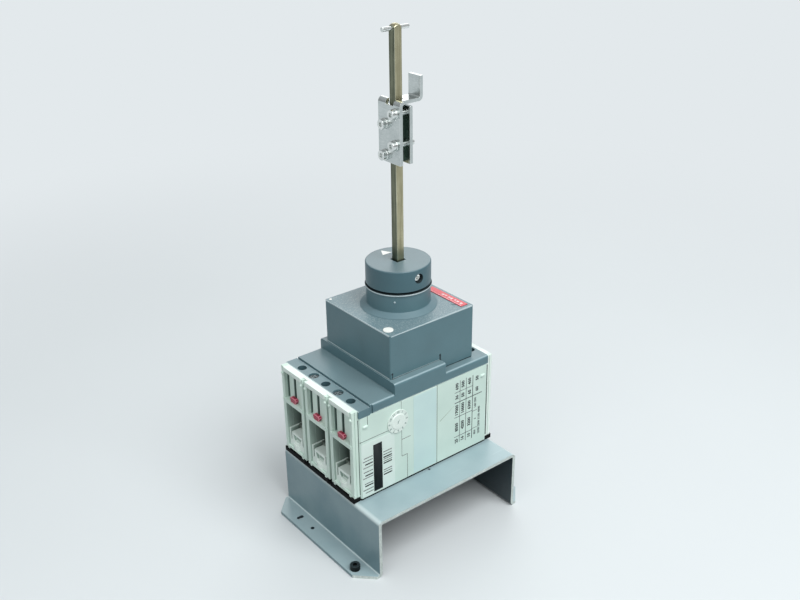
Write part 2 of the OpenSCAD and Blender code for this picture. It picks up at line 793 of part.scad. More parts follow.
// Socket-head screw with a washer; its shank runs through both clamp plates. The lower pair is longer.
module clamp_screw(i) {
    washer_t = 0.9;
    face = -shaft_s / 2 - plate_t;
    shank_l = shaft_s + 2 * plate_t + (i < 2 ? 4.4 : 1.8);
    p = screw_places[i];
    color("#d5dbd6") on_shaft() translate([face, p[0], p[1]]) rotate([0, -90, 0]) difference() {
        union() {
            translate([0, 0, -shank_l]) cylinder(r = screw_r, h = shank_l + eps);
            cylinder(r = screw_head_r + 0.4, h = washer_t);
            translate([0, 0, washer_t]) cylinder(r = screw_head_r, h = screw_head_h);
        }
        translate([0, 0, washer_t + screw_head_h - 2]) cylinder(r = 1.7, h = 3, $fn = 6);
    }
}

module clamp_screw_1() { clamp_screw(0); }
module clamp_screw_2() { clamp_screw(1); }
module clamp_screw_3() { clamp_screw(2); }
module clamp_screw_4() { clamp_screw(3); }

mounting_bracket();
foot_screws();
base_pad();
case_line_section();
case_middle_section();
case_load_section();
line_frame_left();
line_frame_centre();
line_frame_right();
load_frame_left();
load_frame_centre();
load_frame_right();
line_lip();
load_lip();
line_pole_markers();
load_pole_markers();
line_terminal_blocks();
load_terminal_blocks();
line_terminal_tongues();
load_terminal_tongues();
line_terminal_cover();
cover_screws();
front_cover();
date_disc();
mechanism_box();
red_label_bar();
corner_caps();
collar();
knob();
set_screw();
operating_shaft();
cross_pin();
clamp_front_plate();
clamp_rear_plate();
clamp_screw_1();
clamp_screw_2();
clamp_screw_3();
clamp_screw_4();
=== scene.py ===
"""Molded case circuit breaker on a folded bracket, with its rotary mechanism and operating shaft.
The sections follow the real assembly from the bracket up to the clamp on the shaft."""
import json
import math

import bmesh
import bpy
from mathutils import Matrix, Vector

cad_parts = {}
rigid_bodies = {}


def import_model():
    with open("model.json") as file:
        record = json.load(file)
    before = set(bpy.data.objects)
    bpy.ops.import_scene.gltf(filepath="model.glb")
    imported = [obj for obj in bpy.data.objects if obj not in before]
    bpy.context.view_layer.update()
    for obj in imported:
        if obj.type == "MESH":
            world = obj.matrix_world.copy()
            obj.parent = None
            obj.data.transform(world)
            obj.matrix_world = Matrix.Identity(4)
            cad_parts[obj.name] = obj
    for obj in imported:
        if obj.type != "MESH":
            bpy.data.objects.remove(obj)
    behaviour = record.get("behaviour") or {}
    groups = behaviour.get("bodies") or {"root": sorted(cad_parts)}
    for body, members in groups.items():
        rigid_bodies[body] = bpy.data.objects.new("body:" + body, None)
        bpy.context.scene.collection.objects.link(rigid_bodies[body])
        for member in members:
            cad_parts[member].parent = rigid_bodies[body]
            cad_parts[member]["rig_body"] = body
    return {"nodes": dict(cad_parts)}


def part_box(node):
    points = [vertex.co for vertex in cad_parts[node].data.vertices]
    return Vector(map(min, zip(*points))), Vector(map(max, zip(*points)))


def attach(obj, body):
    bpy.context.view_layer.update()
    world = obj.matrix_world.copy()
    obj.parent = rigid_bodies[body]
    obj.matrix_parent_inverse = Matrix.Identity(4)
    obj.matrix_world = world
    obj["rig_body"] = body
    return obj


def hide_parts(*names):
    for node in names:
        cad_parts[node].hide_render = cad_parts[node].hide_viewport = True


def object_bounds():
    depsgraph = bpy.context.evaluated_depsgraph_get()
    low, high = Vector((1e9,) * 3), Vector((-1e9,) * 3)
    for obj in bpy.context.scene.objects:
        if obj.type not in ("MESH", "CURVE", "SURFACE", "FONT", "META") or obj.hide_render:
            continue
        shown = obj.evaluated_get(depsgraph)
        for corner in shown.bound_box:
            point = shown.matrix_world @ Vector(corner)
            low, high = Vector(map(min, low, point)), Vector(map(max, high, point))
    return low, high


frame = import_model()
for starter in {"Cube", "Light", "Camera"} & set(bpy.data.objects.keys()):
    bpy.data.objects.remove(bpy.data.objects[starter])
cad_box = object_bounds()


# Mounting bracket: one 2.5 mm steel sheet, folded to a hat shape and powder coated satin grey. A
# paler coat along the bends is a painted highlight. A dark coat under the bracket, inside the fold
# and in the foot holes, and a darker one on the outer sides of the legs, are painted shade. The
# sheet was sheared to length after coating, so both ends show bare steel.
mm = 0.001


def linear(colour):
    """An sRGB hex colour as the linear RGBA that a shader takes."""
    parts = [int(colour[i:i + 2], 16) / 255 for i in (1, 3, 5)]
    return [p / 12.92 if p <= 0.04045 else ((p + 0.055) / 1.055) ** 2.4 for p in parts] + [1]


def add_node(tree, kind, inputs=None, **settings):
    """Adds a node. Inputs go by name, or by number where two share a name. Each is a value, a
    socket, or a node, whose first live output is linked."""
    node = tree.nodes.new(kind)
    for name, setting in settings.items():
        setattr(node, name, setting)
    for name, value in (inputs or {}).items():
        socket = node.inputs[name] if isinstance(name, int) else next(
            s for s in node.inputs if s.enabled and s.name == name)
        if isinstance(value, bpy.types.Node):
            value = next(s for s in value.outputs if s.enabled)
        if isinstance(value, bpy.types.NodeSocket):
            tree.links.new(value, socket)
        else:
            socket.default_value = value
    return node


def start_material(name):
    """An empty material, its node tree, and the Object coordinates that its patterns follow."""
    material = bpy.data.materials.new(name)
    material.use_nodes = True
    tree = material.node_tree
    tree.nodes.clear()
    return material, tree, add_node(tree, "ShaderNodeTexCoord").outputs["Object"]


def close_material(tree, inputs):
    """The Principled shader with its constant values and links, and the output behind it."""
    shader = add_node(tree, "ShaderNodeBsdfPrincipled", inputs)
    add_node(tree, "ShaderNodeOutputMaterial", {"Surface": shader})


def powder_coat(name, coat, pale_wear_and_highlight, bend_x, bend_z):
    """Powder coat on steel: orange peel 1.5 mm wide, clouds 40 mm wide, long faint scuffs, and a
    painted highlight, a paler band along the bends, which lie at bend_x on both sides and at
    bend_z."""
    material, tree, place = start_material(name)
    peel = add_node(tree, "ShaderNodeTexNoise", {
        "Vector": place, "Scale": 1000 / 1.5, "Detail": 2.0})
    clouds = add_node(tree, "ShaderNodeTexNoise", {
        "Vector": place, "Scale": 1000 / 40, "Detail": 5.0})
    slow = add_node(tree, "ShaderNodeMapRange", {
        "Value": clouds, "From Min": 0.4, "From Max": 0.7, "To Max": 0.2})
    along = add_node(tree, "ShaderNodeMapping", {
        "Vector": place, "Rotation": (0.0, 0.0, 0.5), "Scale": (25.0, 1000.0, 300.0)})
    streaks = add_node(tree, "ShaderNodeTexNoise", {"Vector": along, "Scale": 1.0, "Detail": 1.0})
    scuffs = add_node(tree, "ShaderNodeMapRange", {
        "Value": streaks, "From Min": 0.73, "From Max": 0.8, "To Max": 0.3})
    section = add_node(tree, "ShaderNodeSeparateXYZ", {"Vector": place})
    from_middle = add_node(tree, "ShaderNodeMath", {0: section.outputs["X"]}, operation="ABSOLUTE")
    across = add_node(tree, "ShaderNodeCombineXYZ", {"X": from_middle, "Z": section.outputs["Z"]})
    reach = add_node(tree, "ShaderNodeVectorMath", {
        0: across, 1: (bend_x, 0.0, bend_z)}, operation="DISTANCE")
    # Painted highlight: the coat turns paler within a few mm of each bend.
    bend_highlight = add_node(tree, "ShaderNodeMapRange", {
        "Value": reach.outputs["Value"], "From Min": 1.0 * mm, "From Max": 3.4 * mm,
        "To Min": 1.0, "To Max": 0.0})
    wear_and_highlight = add_node(tree, "ShaderNodeMath", {0: slow, 1: scuffs}, operation="MAXIMUM")
    wear_and_highlight = add_node(tree, "ShaderNodeMath", {0: wear_and_highlight, 1: bend_highlight}, operation="MAXIMUM")
    paint = add_node(tree, "ShaderNodeMix", {
        "Factor": wear_and_highlight, "A": linear(coat), "B": linear(pale_wear_and_highlight)}, data_type="RGBA")
    gloss = add_node(tree, "ShaderNodeMapRange", {
        "Value": clouds, "From Min": 0.3, "From Max": 0.7, "To Min": 0.28, "To Max": 0.38})
    relief = add_node(tree, "ShaderNodeBump", {
        "Height": peel, "Strength": 0.25, "Distance": 0.1 * mm})
    close_material(tree, {"Base Color": paint, "Roughness": gloss, "Normal": relief, "IOR": 1.5})
    return material


def worked_metal(name, colour, dull, roughness, lay=(3000.0, 3000.0, 400.0), stain=0.3,
                 relief=0.03):
    """Sheared, drawn or plated metal. The lay gives the streaks to a metre each way: fewer of them
    along the way it was worked. Stain is how much of the tone comes from stains 8 mm wide
    instead, and relief is the streaks' depth in mm."""
    material, tree, place = start_material(name)
    along = add_node(tree, "ShaderNodeMapping", {"Vector": place, "Scale": lay})
    streaks = add_node(tree, "ShaderNodeTexNoise", {"Vector": along, "Scale": 1.0, "Detail": 2.0})
    stains = add_node(tree, "ShaderNodeTexNoise", {
        "Vector": place, "Scale": 1000 / 8, "Detail": 3.0})
    mixed = add_node(tree, "ShaderNodeMix", {"Factor": stain, "A": streaks, "B": stains})
    worn = add_node(tree, "ShaderNodeMapRange", {
        "Value": mixed, "From Min": 0.35, "From Max": 0.65})
    tone = add_node(tree, "ShaderNodeMix", {
        "Factor": worn, "A": linear(dull), "B": linear(colour)}, data_type="RGBA")
    gloss = add_node(tree, "ShaderNodeMapRange", {
        "Value": mixed, "From Min": 0.35, "From Max": 0.65,
        "To Min": roughness + 0.08, "To Max": roughness - 0.04})
    bump = add_node(tree, "ShaderNodeBump", {
        "Height": streaks, "Strength": 0.3, "Distance": relief * mm})
    close_material(tree, {"Base Color": tone, "Roughness": gloss, "Normal": bump, "Metallic": 1.0})
    return material


def make_piece(name, form, body, slot, *materials):
    """Turns a bmesh, already in place, into a smooth-shaded object that rides on a body."""
    mesh = bpy.data.meshes.new(name)
    form.to_mesh(mesh)
    form.free()
    for material in materials:
        mesh.materials.append(material)
    mesh.shade_smooth()
    piece = bpy.data.objects.new(name, mesh)
    bpy.context.collection.objects.link(piece)
    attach(piece, body)
    return piece


def merged_copy(node):
    """The mesh of a CAD node with its loose triangles merged back into whole flat faces."""
    form = bmesh.new()
    form.from_mesh(frame["nodes"][node].data)
    bmesh.ops.remove_doubles(form, verts=form.verts, dist=0.002 * mm)
    bmesh.ops.dissolve_limit(form, angle_limit=math.radians(0.5), verts=form.verts,
                             edges=form.edges)
    return form


def soften(piece, radius, edge_slot=-1):
    """Rounds every edge sharper than a curved wall's facets, as a mould or a press leaves it, and
    keeps the flat faces flat. The rounded edges may have a paler finish of their own, a painted
    highlight."""
    bevel = piece.modifiers.new("Edge radius", "BEVEL")
    bevel.width = radius
    bevel.segments = 2
    bevel.limit_method = "ANGLE"
    bevel.angle_limit = math.radians(34)
    bevel.use_clamp_overlap = True
    bevel.material = edge_slot
    piece.modifiers.new("Flat faces", "WEIGHTED_NORMAL")
    return piece


def dress(node, radius, *materials, edge=None, crest=0.0):
    """Shows a CAD node as a merged copy of itself with rounded edges and a real finish. Its
    outer edges longer than 12 mm may be rounded more, by crest. A paler edge finish, where given,
    is a painted highlight on the rounded edges."""
    source = frame["nodes"][node]
    form = merged_copy(node)
    if crest:
        shortest = 12 * mm
        long_edges = [e for e in form.edges if e.calc_length() > shortest and e.is_convex
                      and e.calc_face_angle() > 1.0]
        bmesh.ops.bevel(form, geom=long_edges, offset=crest, segments=3, profile=0.5,
                        affect="EDGES", material=len(materials))
    finishes = materials + (edge,) if edge else materials
    piece = make_piece(node + "_dressed", form, source["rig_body"], source.data.materials[0].name,
                       *finishes)
    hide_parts(node)
    return soften(piece, radius, len(materials) if edge and not crest else -1)


def refinish(piece, material, chosen):
    """Gives a finish of its own to each face that chosen picks by its centre and its normal."""
    if material.name not in piece.data.materials:
        piece.data.materials.append(material)
    slot = piece.data.materials.find(material.name)
    for face in piece.data.polygons:
        if chosen(face.center, face.normal):
            face.material_index = slot


case_low, case_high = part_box("case_line_section")
bracket_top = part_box("mounting_bracket")[1].z
bend = (65.2 * mm, bracket_top - 0.3 * mm)
fold_top = 8 * mm
foot_in, foot_out, last_hole = 67 * mm, 79.5 * mm, 50 * mm
grey_coat = powder_coat("Satin grey powder coat", "#8ea4a9", "#c2d2d3", *bend)
inside_shade_coat = powder_coat("Dark powder coat, painted shade", "#28383e", "#3a494e", *bend)
sheared_edge = worked_metal("Sheared mild steel", "#dde3de", "#b4bcb8", 0.34)
bracket = dress("mounting_bracket", 0.3 * mm, grey_coat)
refinish(bracket, sheared_edge, lambda centre, normal: abs(normal.y) > 0.6)
# Painted shade: a dark coat on the bracket's undersides and on the inner faces of its legs.
refinish(bracket, inside_shade_coat, lambda centre, normal: normal.z < -0.9 or (
    abs(normal.x) > 0.5 and normal.x * centre.x < 0))
side_shade_coat = powder_coat("Grey powder coat, painted side shade", "#6c8890", "#c0d0d1", *bend)
bend_highlight_coat = powder_coat("Pale grey powder coat, painted bend highlight", "#b2c4c6", "#c0d0d1", *bend)
# Painted shade: a darker coat on the outer sides of the legs.
refinish(bracket, side_shade_coat, lambda centre, normal: normal.x * centre.x > 0.9 * abs(centre.x))
# Painted highlight: a pale coat on the bends between the legs and the feet.
refinish(bracket, bend_highlight_coat, lambda centre, normal: centre.z < fold_top and normal.z > 0.1
         and 0.1 < abs(normal.x) < 0.97)
# Painted shade: the same dark coat on the walls of the foot holes.
refinish(bracket, inside_shade_coat, lambda centre, normal: foot_in < abs(centre.x) < foot_out
         and abs(centre.y) < last_hole and abs(normal.z) < 0.5)


# Foot screws: two socket head screws in black oxide steel, one in the near hole of each foot. The
# oil in the oxide gives them a soft dark shine, and the paler grey on their tops and edges is a
# painted highlight.
black_oxide = worked_metal("Black oxide steel", "#2c3234", "#15191a", 0.4)
oxide_highlight = worked_metal("Black oxide, painted highlight", "#6d787b", "#4a5355", 0.35)
screws = dress("foot_screws", 0.25 * mm, black_oxide, edge=oxide_highlight)
# Painted highlight: the screws' tops are paler.
refinish(screws, oxide_highlight, lambda centre, normal: normal.z > 0.9)


# Base pad: a moulded pad of black sponge rubber that spaces the case from the bracket. It is dull
# all over. Thin black sheets along both long sides of the case, under its edge, are painted shade.
def moulded_plastic(name, colour, aged, grain, relief, roughness, dust_and_painted_light=0.0, speckle=0.0, calm=None,
                    depth_shade=None, ior=1.5):
    """Moulded plastic or rubber. The tone drifts over about 30 mm, the mould's eroded grain (grain
    and relief in mm) breaks up the gloss, and what faces up is paler, from dust and from painted
    light from above. Speckle is how much of the grain's peaks is polished pale. It stops within
    calm, a centre and a radius. Painted shade darkens a hollow in the ends of the case, from one
    distance to another from its middle."""
    material, tree, place = start_material(name)
    clouds = add_node(tree, "ShaderNodeTexNoise", {
        "Vector": place, "Scale": 1000 / 30, "Detail": 4.0})
    pits = add_node(tree, "ShaderNodeTexNoise", {
        "Vector": place, "Scale": 1000 / grain, "Detail": 2.0, "Roughness": 0.6})
    drift = add_node(tree, "ShaderNodeMapRange", {
        "Value": clouds, "From Min": 0.35, "From Max": 0.7})
    body = add_node(tree, "ShaderNodeMix", {
        "Factor": drift, "A": linear(colour), "B": linear(aged)}, data_type="RGBA")
    peaks = add_node(tree, "ShaderNodeMapRange", {
        "Value": pits, "From Min": 0.5, "From Max": 0.66, "To Max": speckle})
    if calm:
        flat = add_node(tree, "ShaderNodeMapping", {"Vector": place, "Scale": (1.0, 1.0, 0.0)})
        reach = add_node(tree, "ShaderNodeVectorMath", {
            0: flat, 1: (calm[0], calm[1], 0.0)}, operation="DISTANCE")
        grained = add_node(tree, "ShaderNodeMapRange", {
            "Value": reach.outputs["Value"], "From Min": calm[2], "From Max": calm[2] + 0.8 * mm})
        peaks = add_node(tree, "ShaderNodeMath", {0: peaks, 1: grained}, operation="MULTIPLY")
    facing = add_node(tree, "ShaderNodeSeparateXYZ", {
        "Vector": add_node(tree, "ShaderNodeNewGeometry").outputs["Normal"]})
    # Dust, and painted light from above: what faces up is paler.
    dust_and_top_light = add_node(tree, "ShaderNodeMapRange", {
        "Value": facing.outputs["Z"], "From Min": 0.5, "From Max": 1.0, "To Max": dust_and_painted_light})
    film = add_node(tree, "ShaderNodeMath", {0: dust_and_top_light, 1: peaks}, operation="ADD")
    tone = add_node(tree, "ShaderNodeMix", {
        "Factor": film, "A": body, "B": linear("#c3c9c7")}, data_type="RGBA")
    # Painted shade: the tone darkens towards the inner end of a hollow.
    if depth_shade:
        section = add_node(tree, "ShaderNodeSeparateXYZ", {"Vector": place})
        from_middle = add_node(tree, "ShaderNodeMath", {
            0: section.outputs["X"]}, operation="ABSOLUTE")
        depth_shade_amount = add_node(tree, "ShaderNodeMapRange", {
            "Value": from_middle, "From Min": depth_shade[0], "From Max": depth_shade[1], "To Max": 0.78})
        tone = add_node(tree, "ShaderNodeMix", {
            "Factor": depth_shade_amount, "A": tone, "B": linear("#22302c")}, data_type="RGBA")
    gloss = add_node(tree, "ShaderNodeMapRange", {
        "Value": pits, "From Min": 0.3, "From Max": 0.7,
        "To Min": roughness - 0.06, "To Max": roughness + 0.08})
    bump = add_node(tree, "ShaderNodeBump", {
        "Height": pits, "Strength": 0.5, "Distance": relief * mm})
    close_material(tree, {"Base Color": tone, "Roughness": gloss, "Normal": bump, "IOR": ior})
    return material


black_rubber_and_shade = moulded_plastic("Black sponge rubber, also painted shade", "#090b0c", "#101314", 1.2, 0.08, 0.85,
                               ior=1.25)
dress("base_pad", 0.3 * mm, black_rubber_and_shade)
# Painted shade: thin black sheets on the bracket, just inside both long sides of the case.
shade_sheet = bmesh.new()
shade_sheet_l, shade_sheet_t, shade_sheet_out, shade_sheet_in = 119.0 * mm, 0.5 * mm, 0.7 * mm, 4.0 * mm
for near, far in ((case_low.y + shade_sheet_out, case_low.y + shade_sheet_in),
                  (case_high.y - shade_sheet_in, case_high.y - shade_sheet_out)):
    bmesh.ops.create_cube(shade_sheet, size=1.0, matrix=Matrix.LocRotScale(
        Vector((0.0, (near + far) / 2, bracket_top + 0.2 * mm)), None,
        Vector((shade_sheet_l, far - near, shade_sheet_t))))
soften(make_piece("base_pad_flanges", shade_sheet, "breaker", "black_pad", black_rubber_and_shade), 0.1 * mm)


# Case: three sections of glass-filled thermoset polyester, compression moulded in pale grey and
# pressed together with fine parting lines between them. The black of the underside is painted
# shade, and the paler rounded edges are a painted highlight.
pale_thermoset = moulded_plastic("Pale grey thermoset polyester", "#cde2d9", "#c3d9d0",
                                 0.9, 0.02, 0.42)
# Painted highlight: a paler finish for the rounded edges of the case.
thermoset_highlight = moulded_plastic("Pale thermoset, painted edge highlight", "#e3eee9", "#d9e6e0", 1.2, 0.01, 0.32)
case_ends = [dress(node, 0.3 * mm, pale_thermoset, edge=thermoset_highlight)
             for node in ("case_line_section", "case_load_section")]
middle = dress("case_middle_section", 0.3 * mm, pale_thermoset, edge=thermoset_highlight)
underside = 54 * mm
# Painted shade: the downward faces under the case are black.
for section in (*case_ends, middle):
    refinish(section, black_rubber_and_shade, lambda centre, normal: normal.z < -0.9
             and centre.z < underside)


# Moulded pips: low rounded bars that locate the packing and the fitting jig, two on each long side
# of the case. They come out of the mould with it, in the same grey.
pips = bmesh.new()
pip_out, pip_level = 54.9 * mm, 108.4 * mm
pip_size = Vector((4.4 * mm, 1.8 * mm, 2.2 * mm))
for wall in (case_high.y, case_low.y):
    for pip_x in (-pip_out, pip_out):
        pip = bmesh.ops.create_cube(pips, size=1.0, matrix=Matrix.LocRotScale(
            Vector((pip_x, wall, pip_level)), None, pip_size))
        edges = {e for v in pip["verts"] for e in v.link_edges}
        bmesh.ops.bevel(pips, geom=list(edges), offset=0.8 * mm, segments=3, profile=0.5,
                        affect="EDGES", material=-1)
make_piece("moulded_pips", pips, "breaker", "cream_moulding", pale_thermoset)


# Seam dirt and shade, and sheets: the dark lines in the parting lines and moulded ticks of the
# case, and between the case and its end frames, are packed dust and painted shade. A pale blue
# polyester sheet is glued to each long side of the middle section, and a tool has scratched the
# near side.
def add_block(form, low, high):
    """A plain block between two corners, for a label or a printed bar a few hundredths thick."""
    middle, span = (Vector(low) + Vector(high)) / 2, Vector(high) - Vector(low)
    bmesh.ops.create_cube(form, size=1.0, matrix=Matrix.LocRotScale(middle, None, span))


seam_dust_and_shade = moulded_plastic("Packed dust and painted shade", "#41504c", "#55635f", 1.0, 0.03, 0.8)
blue_sheet = moulded_plastic("Pale blue polyester sheet", "#c4dedb", "#bdd7d6", 1.2, 0.01, 0.36)
load_seam, line_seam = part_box("case_middle_section")[1].x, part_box("case_middle_section")[0].x
seam_w, groove_w = 0.35 * mm, 0.3 * mm
jog_x, jog_z = case_high.x, 70.5 * mm
tick_end, tick_level = -14.8 * mm, 84.3 * mm
corner_tick, corner_tick_foot = case_low.x + 6.8 * mm, 109.5 * mm
groove_end, groove_level = line_seam - 12 * mm, 96.9 * mm
joint_x, joint_foot, joint_head = 59.7 * mm, 53.0 * mm, 115.0 * mm
sheet_left, sheet_foot, sheet_head = -12.0 * mm, 50.6 * mm, 115.6 * mm
dust_and_painted_light, sheets = bmesh.new(), bmesh.new()
# Packed dust and painted shade: dark lines along the seams, the ticks, the groove and the joints.
for wall, out in ((case_low.y, -1), (case_high.y, 1)):
    lines = [(load_seam, load_seam + seam_w, case_low.z, case_high.z)]
    if out < 0:
        lines += [
            (line_seam - groove_w, line_seam, jog_z, case_high.z),
            (line_seam, jog_x, jog_z - groove_w, jog_z),
            (jog_x, jog_x + seam_w, case_low.z, jog_z),
            (line_seam, tick_end, tick_level, tick_level + groove_w),
            (corner_tick, corner_tick + 0.4 * mm, corner_tick_foot, case_high.z),
            (case_low.x, groove_end, groove_level, groove_level + 0.4 * mm),
        ]
    for left, right, foot, head in lines:
        near, far = sorted((wall - out * 0.3 * mm, wall + out * 0.02 * mm))
        add_block(dust_and_painted_light, (left, near, foot), (right, far, head))
    near, far = sorted((wall - out * 1.5 * mm, wall - out * 1.25 * mm))
    for left, right in ((-joint_x - 0.6 * mm, -joint_x), (joint_x, joint_x + 1.3 * mm)):
        add_block(dust_and_painted_light, (left, near, joint_foot), (right, far, joint_head))
    near, far = sorted((wall - out * 0.1 * mm, wall + out * 0.08 * mm))
    add_block(sheets, (sheet_left, near, sheet_foot), (load_seam - 0.5 * mm, far, sheet_head))
make_piece("case_seam_dust", dust_and_painted_light, "breaker", "black_pad", seam_dust_and_shade)
soften(make_piece("middle_sheets", sheets, "breaker", "cream_middle", blue_sheet), 0.03 * mm)
scratched = moulded_plastic("Scratched thermoset", "#8fa08f", "#a2b2a2", 1.0, 0.02, 0.6)
scratch = bmesh.new()
bmesh.ops.create_cone(
    scratch, segments=8, radius1=0.24 * mm, radius2=0.14 * mm, depth=15.8 * mm, cap_ends=True,
    matrix=Matrix.Translation((19.8 * mm, case_low.y, 88.8 * mm))
    @ Matrix.Rotation(math.radians(60.4), 4, "Y") @ Matrix.Diagonal((1.0, 0.3, 1.0, 1.0)))
make_piece("case_scratch", scratch, "breaker", "cream_moulding", scratched)


# Side label: a white coated paper label on the terminal end of the near side, with one broad black
# bar and short thin bars on both sides of it, thermally printed and a little uneven.
label_face = case_low.y
label_paper = moulded_plastic("Coated label paper", "#d9e9e3", "#cfe0d9", 1.6, 0.02, 0.5)
black_print = moulded_plastic("Black thermal print", "#14191b", "#1d2325", 0.8, 0.01, 0.65, ior=1.3)
grey_print = moulded_plastic("Worn thermal print", "#59605f", "#8b938f", 1.0, 0.01, 0.5)
sheet = bmesh.new()
label_left, label_right, label_foot, label_head = -58.9 * mm, -29.6 * mm, 50.4 * mm, 94.8 * mm
add_block(sheet, (label_left, label_face - 0.12 * mm, label_foot),
          (label_right, label_face + 0.05 * mm, label_head))
through = [e for e in sheet.edges if abs(e.verts[0].co.y - e.verts[1].co.y) > 0.05 * mm]
bmesh.ops.bevel(sheet, geom=through, offset=1.2 * mm, segments=3, profile=0.5, affect="EDGES",
                material=-1)
soften(make_piece("side_label", sheet, "breaker", "white_disc", label_paper), 0.04 * mm)
bars = bmesh.new()
bar_left, bar_right, bar_foot, bar_head = -48.6 * mm, -40.8 * mm, 51.4 * mm, 90.8 * mm
add_block(bars, (bar_left, label_face - 0.17 * mm, bar_foot), (bar_right, label_face, bar_head))
worn_bars = bmesh.new()
for left, right, levels, swing in (
    (-57.0, -49.2, (82.6, 80.1, 77.3, 74.7, 71.0, 68.0, 66.0, 61.1, 59.2, 56.0, 53.4), 1.1),
    (-39.8, -32.2, (81.3, 78.9, 76.7, 75.1, 73.3, 71.6, 66.0, 64.1, 62.0), 0.0),
):
    for row, level in enumerate(levels):
        half = 0.26 + 0.13 * ((row * 2 + 1) % 3)
        start = left + swing * math.sin(4.0 * row)
        add_block(worn_bars if row % 3 == 0 else bars,
                  (start * mm, label_face - 0.16 * mm, (level - half) * mm),
                  (right * mm, label_face, (level + half) * mm))
make_piece("side_label_bars", bars, "breaker", "black_pad", black_print)
make_piece("side_label_worn_bars", worn_bars, "breaker", "black_pad", grey_print)


# Ratings table: plain figures and rules pad printed on the load end of the near side. The print
# reads up the case, so its columns cross from the load terminals to the line terminals.
def add_number(form, text, height, turn):
    """Adds a printed number to a bmesh: the text is made a thin mesh, then set in its place."""
    curve = bpy.data.curves.new("number", "FONT")
    curve.body = text
    curve.size = height / 0.69
    curve.align_x, curve.align_y = "CENTER", "CENTER"
    curve.resolution_u = 2
    curve.offset = 0.06 * height
    curve.extrude = 0.03 * mm
    figure = bpy.data.objects.new("number", curve)
    mesh = bpy.data.meshes.new_from_object(figure)
    mesh.transform(turn)
    form.from_mesh(mesh)
    bpy.data.objects.remove(figure)
    bpy.data.curves.remove(curve)
    bpy.data.meshes.remove(mesh)


def on_label_side(x, z, up):
    """Places print on the near face, at x and z in mm. Its own upward way is turned to up."""
    reading = Vector((0.0, -1.0, 0.0)).cross(Vector(up)) * -1
    turn = Matrix((reading, Vector(up), Vector((0.0, -1.0, 0.0)))).transposed().to_4x4()
    return Matrix.Translation((x * mm, label_face - 0.02 * mm, z * mm)) @ turn


table_ink = moulded_plastic("Grey pad print", "#252d2f", "#3a4344", 0.9, 0.01, 0.5)
faint_ink = moulded_plastic("Worn pad print", "#4a5555", "#6b7774", 0.9, 0.01, 0.5)
figures, small_figures, rules, faint_rules = bmesh.new(), bmesh.new(), bmesh.new(), bmesh.new()
toward_line = (-1.0, 0.0, 0.0)
for column, entries in (
    (29.5, ("690", "36", "17000", "8500", "25")),
    (35.4, ("500", "50", "10000", "4200", "16")),
    (41.9, ("400", "65", "6300", "3200", "10")),
    (49.4, ("50", "60")),
):
    for entry, level in zip(entries, (108.3, 99.0, 87.8, 73.0, 60.8)):
        add_number(figures, entry, 2.6 * mm, on_label_side(column, level, toward_line))
for entry, column, level, tall in (
    ("160 250", 47.9, 87.4, 1.9), ("3", 48.1, 73.2, 1.7), ("800", 47.9, 61.2, 1.8),
    ("2000 2500 3150 4000", 51.9, 70.6, 1.9),
):
    add_number(small_figures, entry, tall * mm, on_label_side(column, level, toward_line))
for form, left, right, level, half in (
    (rules, 27.2, 54.4, 94.4, 0.3), (faint_rules, 27.2, 45.0, 81.7, 0.24),
    (faint_rules, 27.1, 45.0, 64.6, 0.24), (faint_rules, 27.2, 45.0, 103.3, 0.22),
    (faint_rules, 45.0, 50.0, 80.6, 0.2), (faint_rules, 45.0, 50.4, 65.2, 0.2),
):
    add_block(form, (left * mm, label_face - 0.05 * mm, (level - half) * mm),
              (right * mm, label_face + 0.01 * mm, (level + half) * mm))
for form, column, foot, head, half in (
    (rules, 45.0, 56.8, 112.2, 0.3), (rules, 32.4, 58.7, 112.4, 0.2),
    (rules, 38.5, 57.7, 112.4, 0.22),
):
    add_block(form, ((column - half) * mm, label_face - 0.05 * mm, foot * mm),
              ((column + half) * mm, label_face + 0.01 * mm, head * mm))
make_piece("ratings_small_figures", small_figures, "breaker", "black_pad", faint_ink)
make_piece("ratings_figures", figures, "breaker", "black_pad", table_ink)
make_piece("ratings_rules", rules, "breaker", "black_pad", table_ink)
make_piece("ratings_faint_rules", faint_rules, "breaker", "black_pad", faint_ink)


# Terminal ends: a nylon frame is clipped over each pole at both ends, and one white lip ties each
# row of frames together. Stepped blocks hold tinned copper tongues in the pockets, and a small
# clipped plate of red nylon marks each pole. The darker pockets, vents and hollows of the blocks,
# darkest deepest in, are painted shade, and the paler rounded edges and the white long sides of
# the load frames are painted highlights.
white_nylon = moulded_plastic("White nylon", "#dfece5", "#d6e4dd", 0.8, 0.015, 0.36)
frame_nylon = moulded_plastic("Pale grey nylon", "#d0e4da", "#c5dad0", 0.8, 0.02, 0.4)
# Painted highlight: a paler finish for the rounded edges of frames and blocks.
nylon_highlight = moulded_plastic("Pale nylon, painted edge highlight", "#e9f3ee", "#dfebe5", 1.2, 0.01, 0.3)
block_nylon_and_highlight = moulded_plastic("White filled nylon, also painted highlight", "#e6f2ec", "#dbe9e2", 0.8, 0.02, 0.38)
# Painted shade: darker nylon in the pockets and vents, darkest deepest in.
pocket_shade_nylon = moulded_plastic("Nylon, painted pocket shade", "#b7ccc2", "#a9bfb5", 0.8, 0.02, 0.5,
                               depth_shade=(64.5 * mm, 53.0 * mm))
vent_shade_nylon = moulded_plastic("Nylon, painted vent shade", "#97b2aa", "#89a59d", 0.8, 0.02, 0.5,
                             depth_shade=(63.0 * mm, 60.6 * mm))
red_nylon = moulded_plastic("Red nylon", "#9c1a38", "#8b1833", 0.6, 0.02, 0.36)
